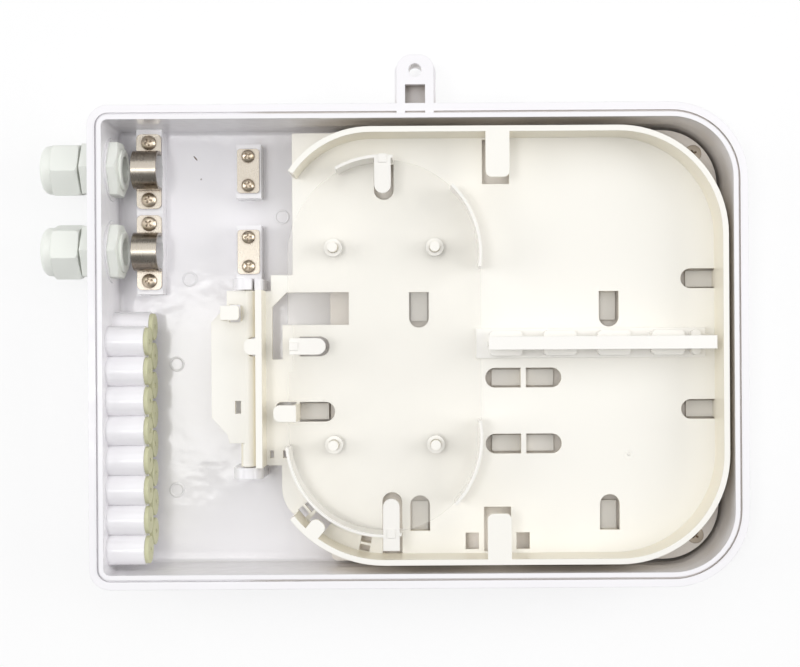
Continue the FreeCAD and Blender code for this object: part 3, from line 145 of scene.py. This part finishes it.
class Finish:
    """One material, built from named nodes."""

    def __init__(self, name):
        self.material = bpy.data.materials.new(name)
        self.material.use_nodes = True
        self.nodes = self.material.node_tree.nodes
        self.links = self.material.node_tree.links
        self.nodes.clear()
        self.output = self.nodes.new("ShaderNodeOutputMaterial")

    def node(self, kind, settings=None, inputs=None, output=0):
        """Add a node: its settings first, then the values or links of its sockets."""
        made = self.nodes.new(kind)
        for key, value in (settings or {}).items():
            setattr(made, key, value)
        for key, value in (inputs or {}).items():
            if isinstance(value, Link):
                self.links.new(value.socket, made.inputs[key])
            else:
                made.inputs[key].default_value = value
        return Link(self, made.outputs[output])

    def place(self):
        """Where a point lies on the object, in metres."""
        return self.node("ShaderNodeTexCoord", output="Object")

    def share(self, vector, axis):
        """The part of a vector along one axis."""
        return self.node("ShaderNodeSeparateXYZ", inputs={"Vector": vector}, output=axis)

    def along(self):
        """How far a point lies towards the tray end, in millimetres."""
        return self.share(self.place(), "X") * (1 / MM)

    def height(self):
        """How high a point lies on the object, in millimetres."""
        return self.share(self.place(), "Z") * (1 / MM)

    def away(self, x, y, z):
        """How far a point lies from a place, both in millimetres."""
        spot = (x * MM, y * MM, z * MM)
        distance = self.node("ShaderNodeVectorMath", {"operation": "DISTANCE"},
                             {0: self.place(), 1: spot}, "Value")
        return distance * (1 / MM)

    def fade(self, value, full, none):
        """A soft mask: one where the value is at full, zero where it is at none."""
        low, high = sorted((full, none))
        at_low, at_high = (1.0, 0.0) if full < none else (0.0, 1.0)
        return self.node("ShaderNodeMapRange", {"interpolation_type": "SMOOTHSTEP"},
                         {"Value": value, "From Min": low, "From Max": high,
                          "To Min": at_low, "To Max": at_high})

    def rounded(self, radius):
        """The normal with edges softened to a radius in millimetres."""
        return self.node("ShaderNodeBevel", {"samples": 4}, {"Radius": radius * MM})

    def edges(self, radius):
        """A mask: one on edges and zero on flat faces."""
        flat = self.node("ShaderNodeNewGeometry", output="Normal")
        match = self.node("ShaderNodeVectorMath", {"operation": "DOT_PRODUCT"},
                          {0: self.rounded(radius), 1: flat}, "Value")
        return self.fade(match, full=0.9, none=0.995)

    def steep(self, radius, level, upright):
        """A mask for faces that tilt away from the opening: one at upright and zero at level."""
        turned = self.node("ShaderNodeVectorTransform",
                           {"vector_type": "NORMAL", "convert_from": "WORLD", "convert_to": "OBJECT"},
                           {"Vector": self.rounded(radius)})
        return self.fade(self.share(turned, "Z"), upright, level)

    def covered(self, distance, dark, clear):
        """A mask for places that other pieces cover closely."""
        open_air = self.node("ShaderNodeAmbientOcclusion", {"samples": 5}, {"Distance": distance * MM}, "AO")
        return self.fade(open_air, dark, clear)

    def noise(self, scale, detail, roughness=0.5, stretch=None):
        """Soft noise with scale waves per metre, drawn out where stretch differs along the axes."""
        place = self.place()
        if stretch is not None:
            place = self.node("ShaderNodeMapping", {}, {"Vector": place, "Scale": stretch})
        return self.node("ShaderNodeTexNoise", {"noise_dimensions": "3D"},
                         {"Vector": place, "Scale": scale, "Detail": detail, "Roughness": roughness})

    def mix(self, factor, first, second):
        """The first colour where the factor is zero and the second where it is one."""
        return self.node("ShaderNodeMix", {"data_type": "RGBA"}, {"Factor": factor, "A": first, "B": second},
                         "Result")

    def wander(self, factor, colour, shades):
        """A colour that wanders between a darker and a lighter shade of itself."""
        dark, light = shades
        return self.mix(factor, rgba(colour, dark), rgba(colour, light))

    def bump(self, height, edge):
        """The normal of a relief in millimetres, on edges softened to a radius in millimetres."""
        return self.node("ShaderNodeBump", {}, {"Strength": 1.0, "Distance": MM, "Height": height,
                                                "Normal": self.rounded(edge)})

    def surface(self, inputs):
        """The shader that the material shows."""
        shader = self.node("ShaderNodeBsdfPrincipled", {}, inputs)
        self.links.new(shader.socket, self.output.inputs["Surface"])


def moulded_plastic(look, colour, roughness, edge=0.35, grain=1.0, relief=None, stain_and_shade=None, alpha=None,
                    shade=None):
    """Moulded plastic: faint flow mottling, fine spark-eroded grain, soft edges and uneven gloss.

    grain is the strength of the fine grain and relief a height in millimetres. The mask of dark marks brings
    real scratches and specks, and painted shade on the tray's pocket floors; shade is a mask with the colour
    of a painted shade that it brings."""
    tint = look.wander(look.noise(scale=14.0, detail=2.0), colour, FLOW_SHADES)
    # Painted shade: the colour turns towards the shade colour where the mask is one.
    if shade is not None:
        mask, shaded = shade
        tint = look.mix(mask, tint, rgba(shaded))
    # Dark marks: real scratches and specks, and painted shade on the tray's pocket floors.
    if stain_and_shade is not None:
        tint = look.mix(stain_and_shade, tint, rgba(STAIN_AND_SHADE))
    height = look.noise(scale=2600.0, detail=2.0) * (GRAIN_RELIEF * grain)
    if relief is not None:
        height = height + relief
    haze = look.noise(scale=60.0, detail=3.0)
    inputs = {"Base Color": tint, "Roughness": haze * HAZE_SPAN + (roughness - HAZE_SPAN / 2),
              "Normal": look.bump(height, edge), "IOR": PLASTIC_IOR}
    if alpha is not None:
        inputs["Alpha"] = alpha
    look.surface(inputs)
    return look.material


def housing_plastic(colour, shade_beneath_tray):
    """Cool white plastic with a wavy gloss, ejector rings, a scratch and a speck on its floor, and painted
    shade in the covered places beside the deck.
    """
    look = Finish("housing_white")
    relief = (look.noise(scale=70.0, detail=2.0) * HOUSING_WAVES
              + look.noise(scale=200.0, detail=2.0) * HOUSING_RIPPLES)
    for x, y in EJECTOR_RINGS:
        ring = (look.away(x, y, FLOOR_TOP) - EJECTOR_RADIUS).size()
        relief = relief + look.fade(ring, full=0.1, none=0.7) * EJECTOR_RELIEF
    start, end = SCRATCH
    detour = look.away(*start, FLOOR_TOP) + look.away(*end, FLOOR_TOP) - math.dist(start, end)
    scratch = look.fade(detour, full=0.02, none=0.12)
    speck = look.fade(look.away(*SPECK, FLOOR_TOP), full=0.25, none=0.6) * SPECK_STRENGTH
    # Painted shade: warm grey where other pieces cover the floor closely, beside the deck and beneath the
    # tray.
    beside_deck = look.fade(look.along(), full=-70.0, none=-90.0)
    hollow_shade_mask = look.covered(distance=22.0, dark=0.03, clear=0.4) * beside_deck
    return moulded_plastic(look, colour, roughness=0.1, grain=0.15, relief=relief,
                           stain_and_shade=scratch.larger(speck), shade=(hollow_shade_mask, shade_beneath_tray))


def deck_plastic(colour, shade_beneath_tray):
    """White plastic with painted shade: a warm grey where the tray covers it."""
    look = Finish("deck_white")
    shade = (look.covered(distance=14.0, dark=0.05, clear=0.24), shade_beneath_tray)
    return moulded_plastic(look, colour, roughness=0.35, shade=shade)


def tray_plastic(colour, walls):
    """Ivory plastic with a gate mark on its floor, painted shade on the pocket floors beneath its openings,
    and painted shade of a deeper ivory on its upright faces.
    """
    look = Finish("tray_ivory")
    relief = look.noise(scale=40.0, detail=2.0) * TRAY_WAVES
    for x, y in TRAY_GATES:
        gate = look.away(x, y, TRAY_TOP)
        relief = relief + look.fade(gate, full=0.4, none=1.0) * TRAY_GATE_DOT
        relief = relief + look.fade((gate - TRAY_GATE_RADIUS).size(), full=0.2, none=0.6) * TRAY_GATE_RING
    # Painted shade: low faces, the pocket floors beneath the openings, turn towards dark brown.
    pocket_shade = look.fade(look.height(), full=14.0, none=16.5) * POCKET_SHADE_STRENGTH
    # Painted shade: upright faces turn a deeper ivory.
    shade = (look.steep(radius=0.4, level=0.9, upright=0.5), walls)
    return moulded_plastic(look, colour, roughness=0.33, relief=relief, stain_and_shade=pocket_shade, shade=shade)


def clear_plastic(colour):
    """Frosted clear plastic: nearly invisible flat sheet, with brighter edges and upright walls."""
    look = Finish("winding_clear")
    relief = look.noise(scale=30.0, detail=2.0) * WINDING_WAVES
    for x, y in WINDING_GATES:
        ring = (look.away(x, y, WINDING_TOP) - WINDING_GATE_RADIUS).size()
        relief = relief + look.fade(ring, full=0.1, none=0.5) * WINDING_GATE_RING
    walls = look.fade(look.height(), full=21.6, none=20.6)
    alpha = walls * WALL_ALPHA + look.edges(radius=0.35) * EDGE_ALPHA + SHEET_ALPHA
    return moulded_plastic(look, colour, roughness=0.2, relief=relief, alpha=alpha)


def soft_rubber(name, colour):
    """Dull rubber with dust and fine pores."""
    look = Finish(name)
    dust = look.noise(scale=90.0, detail=4.0)
    pores = look.noise(scale=1500.0, detail=3.0)
    look.surface({"Base Color": look.wander(dust, colour, DUST_SHADES),
                  "Roughness": dust * DUST_SPAN + RUBBER_ROUGHNESS,
                  "Normal": look.bump(pores * PORE_RELIEF, edge=0.4), "Specular IOR Level": RUBBER_SPECULAR})
    return look.material


def plated_metal(name, colour, roughness, metal_shade, depth, stretch=None):
    """Nickel-plated steel with fine lines, slight tarnish, and brown painted shade in its recesses and on
    faces that turn away from the top.

    The shade colour is the brown of that painted shade and depth its strength, and stretch draws the lines
    out along the strip."""
    look = Finish(name)
    lines = look.noise(scale=420.0, detail=4.0, roughness=0.6, stretch=stretch)
    tarnish = look.noise(scale=110.0, detail=4.0)
    # Painted shade: brown on faces turned away from the top and in closely covered recesses.
    shaded_rims = look.steep(radius=0.2, level=0.96, upright=0.6)
    hollow_shade = look.covered(distance=1.5, dark=0.5, clear=0.9)
    tint = look.mix(shaded_rims.larger(hollow_shade) * depth, look.wander(tarnish, colour, TARNISH_SHADES), rgba(metal_shade))
    even = roughness - (LINE_SPAN + TARNISH_SPAN) / 2
    look.surface({"Base Color": tint, "Metallic": 1.0,
                  "Roughness": lines * LINE_SPAN + tarnish * TARNISH_SPAN + even,
                  "Normal": look.bump(lines * LINE_RELIEF, edge=0.25)})
    return look.material


class FibreBoxFinishes(bpy.types.PropertyGroup):
    """Colours of the box, as linear light."""
    housing: bpy.props.FloatVectorProperty(
        name="Housing", description="Cool white housing plastic", subtype="COLOR", size=3,
        default=(0.905, 0.89, 0.91))
    tray: bpy.props.FloatVectorProperty(
        name="Splice tray", description="Ivory tray plastic", subtype="COLOR", size=3,
        default=(0.92, 0.90, 0.842))
    deck: bpy.props.FloatVectorProperty(
        name="Lower deck", description="White deck plastic", subtype="COLOR", size=3,
        default=(0.92, 0.87, 0.81))
    bar: bpy.props.FloatVectorProperty(
        name="Divider", description="White divider plastic", subtype="COLOR", size=3,
        default=(0.94, 0.922, 0.88))
    clear: bpy.props.FloatVectorProperty(
        name="Winding tray", description="Frosted clear plastic", subtype="COLOR", size=3,
        default=(0.985, 0.965, 0.92))
    gland: bpy.props.FloatVectorProperty(
        name="Glands", description="Pale grey-green nylon", subtype="COLOR", size=3,
        default=(0.865, 0.885, 0.83))
    plug: bpy.props.FloatVectorProperty(
        name="Plugs", description="Pale yellow-green rubber", subtype="COLOR", size=3,
        default=(0.64, 0.635, 0.42))
    seal: bpy.props.FloatVectorProperty(
        name="Seals", description="Grey rubber", subtype="COLOR", size=3,
        default=(0.09, 0.09, 0.085))
    strip: bpy.props.FloatVectorProperty(
        name="Clamp strip", description="Nickel-plated strip", subtype="COLOR", size=3,
        default=(0.53, 0.48, 0.41))
    screw: bpy.props.FloatVectorProperty(
        name="Screws", description="Warm nickel-plated screws", subtype="COLOR", size=3,
        default=(0.93, 0.80, 0.63))
    sunk: bpy.props.FloatVectorProperty(
        name="Deck screws", description="Dull nickel of the countersunk screws", subtype="COLOR", size=3,
        default=(0.42, 0.36, 0.29))
    # Painted shade on the metal: the brown of its recesses and of faces turned away from the top
    metal_shade: bpy.props.FloatVectorProperty(
        name="Metal rims", description="Brown of the crosses, rims and cut edges", subtype="COLOR", size=3,
        default=(0.13, 0.085, 0.05))
    # Painted shade: the deeper ivory of the tray's upright faces
    walls: bpy.props.FloatVectorProperty(
        name="Tray walls", description="Deeper ivory where light passes the walls", subtype="COLOR", size=3,
        default=(0.925, 0.872, 0.735))
    # Painted shade: the warm grey of the housing's covered places beside the deck
    hollow_shade: bpy.props.FloatVectorProperty(
        name="Housing hollows", description="Warm grey of the hollows", subtype="COLOR", size=3,
        default=(0.60, 0.54, 0.48))
    # Painted shade: the warm grey of the deck where the tray covers it
    shade_beneath_tray: bpy.props.FloatVectorProperty(
        name="Under the tray", description="Warm grey of the covered deck", subtype="COLOR", size=3,
        default=(0.45, 0.365, 0.27))


class FibreBoxStage(bpy.types.PropertyGroup):
    """Camera, lamps and floor."""
    eye: bpy.props.FloatVectorProperty(
        name="Eye", description="Where the camera stands", subtype="TRANSLATION", size=3,
        default=(0.0046, -0.0021, 0.690))
    roll: bpy.props.FloatProperty(
        name="Roll", description="Turn of the camera about its view", subtype="ANGLE",
        default=math.radians(-0.35))
    key_power: bpy.props.FloatProperty(
        name="Key lamp", description="Power of the small lamp over the entry end", subtype="POWER",
        default=2.4)
    glint_power: bpy.props.FloatProperty(
        name="Glint lamp", description="Power of the lamp that shows in glossy faces", subtype="POWER",
        default=1.5)
    top_power: bpy.props.FloatProperty(
        name="Top lamp", description="Power of the wide lamp overhead", subtype="POWER", default=16.5)
    side_power: bpy.props.FloatProperty(
        name="Side lamps", description="Power of each lamp beside the box", subtype="POWER", default=10.5)
    world_strength: bpy.props.FloatProperty(
        name="Ambient light", description="Strength of the surrounding light", default=0.22)
    floor_colour: bpy.props.FloatVectorProperty(
        name="Floor", description="Pale floor", subtype="COLOR", size=3, default=(0.92, 0.92, 0.92))


class FinishOperator:
    """What the finishing operators share."""
    bl_options = {"REGISTER", "UNDO"}

    def dress(self, material, *starts):
        """Give a material to every node whose name begins with one of the given words."""
        found = [NODES[name] for name in NODES if name.startswith(starts)]
        if not found:
            raise RuntimeError("no node starts with %s" % (starts,))
        for piece in found:
            piece.data.materials.clear()
            piece.data.materials.append(material)


class FIBREBOX_OT_housing(FinishOperator, bpy.types.Operator):
    """Finish the moulded housing and the deck inside it"""
    bl_idname = "fibrebox.housing"
    bl_label = "Housing and deck"

    def execute(self, context):
        looks = context.scene.fibre_box_finishes
        self.dress(housing_plastic(looks.housing, looks.hollow_shade), "base_housing")
        self.dress(deck_plastic(looks.deck, looks.shade_beneath_tray), "lower_deck")
        return {"FINISHED"}


class FIBREBOX_OT_trays(FinishOperator, bpy.types.Operator):
    """Finish the splice tray, the clear winding tray and the divider"""
    bl_idname = "fibrebox.trays"
    bl_label = "Trays and divider"

    def execute(self, context):
        looks = context.scene.fibre_box_finishes
        self.dress(tray_plastic(looks.tray, looks.walls), "splice_tray")
        self.dress(moulded_plastic(Finish("divider_white"), looks.bar, roughness=0.3), "splice_bar")
        self.dress(clear_plastic(looks.clear), "winding_tray")
        return {"FINISHED"}


class FIBREBOX_OT_glands(FinishOperator, bpy.types.Operator):
    """Finish the cable glands, their seals and the port plugs"""
    bl_idname = "fibrebox.glands"
    bl_label = "Glands and plugs"

    def execute(self, context):
        looks = context.scene.fibre_box_finishes
        nylon = moulded_plastic(Finish("gland_nylon"), looks.gland, roughness=0.4, edge=0.9, grain=1.6)
        self.dress(nylon, "gland_body", "gland_cap", "gland_locknut")
        self.dress(soft_rubber("seal_rubber", looks.seal), "gland_seal", "gland_gasket")
        self.dress(soft_rubber("plug_rubber", looks.plug), "port_plug")
        return {"FINISHED"}


class FIBREBOX_OT_metal(FinishOperator, bpy.types.Operator):
    """Finish the plated clamps, plates and screws"""
    bl_idname = "fibrebox.metal"
    bl_label = "Clamps and screws"

    def execute(self, context):
        looks = context.scene.fibre_box_finishes
        strip = plated_metal("clamp_nickel", looks.strip, roughness=0.27, metal_shade=looks.metal_shade, depth=0.55,
                             stretch=(8.0, 0.6, 0.6))
        self.dress(strip, "cable_saddle", "strength_plate")
        screw = plated_metal("screw_nickel", looks.screw, roughness=0.3, metal_shade=looks.metal_shade, depth=0.9)
        self.dress(screw, "saddle_screw", "plate_screw")
        sunk = plated_metal("deck_screw_nickel", looks.sunk, roughness=0.35, metal_shade=looks.metal_shade, depth=0.9)
        self.dress(sunk, "deck_screw")
        return {"FINISHED"}


class FIBREBOX_OT_stage(bpy.types.Operator):
    """Set up the pale floor, the soft lamps and the camera"""
    bl_idname = "fibrebox.stage"
    bl_label = "Stage"

    def execute(self, context):
        stage = context.scene.fibre_box_stage
        self.floor(stage)
        self.lamps(stage)
        self.camera(stage)
        context.scene.view_settings.view_transform = "Standard"
        return {"FINISHED"}

    def floor(self, stage):
        """A pale floor that glows for the camera and in glossy faces, but not in a painted shadow spot
        beneath the lug.
        """
        mesh = bpy.data.meshes.new("floor")
        corners = [(x * FLOOR_REACH, y * FLOOR_REACH, 0) for x, y in ((-1, -1), (1, -1), (1, 1), (-1, 1))]
        mesh.from_pydata(corners, [], [(0, 1, 2, 3)])
        floor = bpy.data.objects.new("floor", mesh)
        bpy.context.scene.collection.objects.link(floor)
        look = Finish("floor_white")
        paint = look.node("ShaderNodeBsdfDiffuse", {}, {"Color": rgba(stage.floor_colour)})
        glow = look.node("ShaderNodeEmission", {}, {"Color": (1, 1, 1, 1), "Strength": 1.0})
        camera_ray = look.node("ShaderNodeLightPath", output="Is Camera Ray")
        glossy_ray = look.node("ShaderNodeLightPath", output="Is Glossy Ray")
        # Painted shadow: the glow fades out in a small spot beneath the lug.
        beyond_lug_shadow = look.fade(look.away(*LUG_SHADOW_SPOT, 0), full=10.0, none=6.0)
        both = look.node("ShaderNodeMixShader", {},
                         {0: camera_ray.larger(glossy_ray) * beyond_lug_shadow * FLOOR_GLOW, 1: paint, 2: glow})
        look.links.new(both.socket, look.output.inputs["Surface"])
        mesh.materials.append(look.material)

    def lamps(self, stage):
        """One small lamp over the entry end with its glint, a wide lamp overhead, two beside the box."""
        key = self.lamp("key_lamp", stage.key_power, *KEY_LAMP)
        key.visible_glossy = False
        self.lamp("glint_lamp", stage.glint_power, *GLINT_LAMP)
        self.lamp("top_lamp", stage.top_power, *TOP_LAMP)
        self.lamp("left_lamp", stage.side_power * LEFT_SHARE, *LEFT_LAMP)
        self.lamp("right_lamp", stage.side_power * RIGHT_SHARE, *RIGHT_LAMP)
        world = bpy.data.worlds.new("studio")
        world.use_nodes = True
        back = world.node_tree.nodes["Background"]
        back.inputs["Color"].default_value = rgba(AMBIENT)
        back.inputs["Strength"].default_value = stage.world_strength
        bpy.context.scene.world = world

    def lamp(self, name, power, size, place):
        """A round lamp that faces the middle of the box."""
        light = bpy.data.lights.new(name, "AREA")
        light.shape = "DISK"
        light.size = size
        light.energy = power
        lamp = bpy.data.objects.new(name, light)
        lamp.location = place
        lamp.rotation_euler = (-Vector(place)).to_track_quat("-Z", "Y").to_euler()
        bpy.context.scene.collection.objects.link(lamp)
        return lamp

    def camera(self, stage):
        """The camera that looks straight down, with its axis off the middle of the picture."""
        data = bpy.data.cameras.new("camera")
        data.sensor_width = SENSOR
        data.lens = FOCAL_PIXELS / PHOTO_WIDTH * SENSOR
        data.shift_x = (FRAME_CENTRE[0] - AXIS_PIXEL[0]) / PHOTO_WIDTH
        data.shift_y = (AXIS_PIXEL[1] - FRAME_CENTRE[1]) / PHOTO_WIDTH
        data.clip_start = NEAREST
        camera = bpy.data.objects.new("camera", data)
        camera.location = stage.eye
        camera.rotation_euler = (0, 0, stage.roll)
        bpy.context.scene.collection.objects.link(camera)
        bpy.context.scene.camera = camera


class FIBREBOX_PT_panel(bpy.types.Panel):
    """Lists the steps that dress the box"""
    bl_label = "Fibre box"
    bl_idname = "FIBREBOX_PT_panel"
    bl_space_type = "VIEW_3D"
    bl_region_type = "UI"
    bl_category = "Fibre box"

    def draw(self, context):
        for step in STEPS:
            self.layout.operator(step)


STEPS = ("fibrebox.stage", "fibrebox.housing", "fibrebox.trays", "fibrebox.glands", "fibrebox.metal")
CLASSES = (FibreBoxFinishes, FibreBoxStage, FIBREBOX_OT_housing, FIBREBOX_OT_trays, FIBREBOX_OT_glands,
           FIBREBOX_OT_metal, FIBREBOX_OT_stage, FIBREBOX_PT_panel)


def register():
    for item in CLASSES:
        bpy.utils.register_class(item)
    bpy.types.Scene.fibre_box_finishes = bpy.props.PointerProperty(type=FibreBoxFinishes)
    bpy.types.Scene.fibre_box_stage = bpy.props.PointerProperty(type=FibreBoxStage)


def unregister():
    del bpy.types.Scene.fibre_box_stage
    del bpy.types.Scene.fibre_box_finishes
    for item in reversed(CLASSES):
        bpy.utils.unregister_class(item)


def main():
    register()
    for step in STEPS:
        group, name = step.split(".")
        getattr(getattr(bpy.ops, group), name)()


if __name__ == "__main__":
    main()
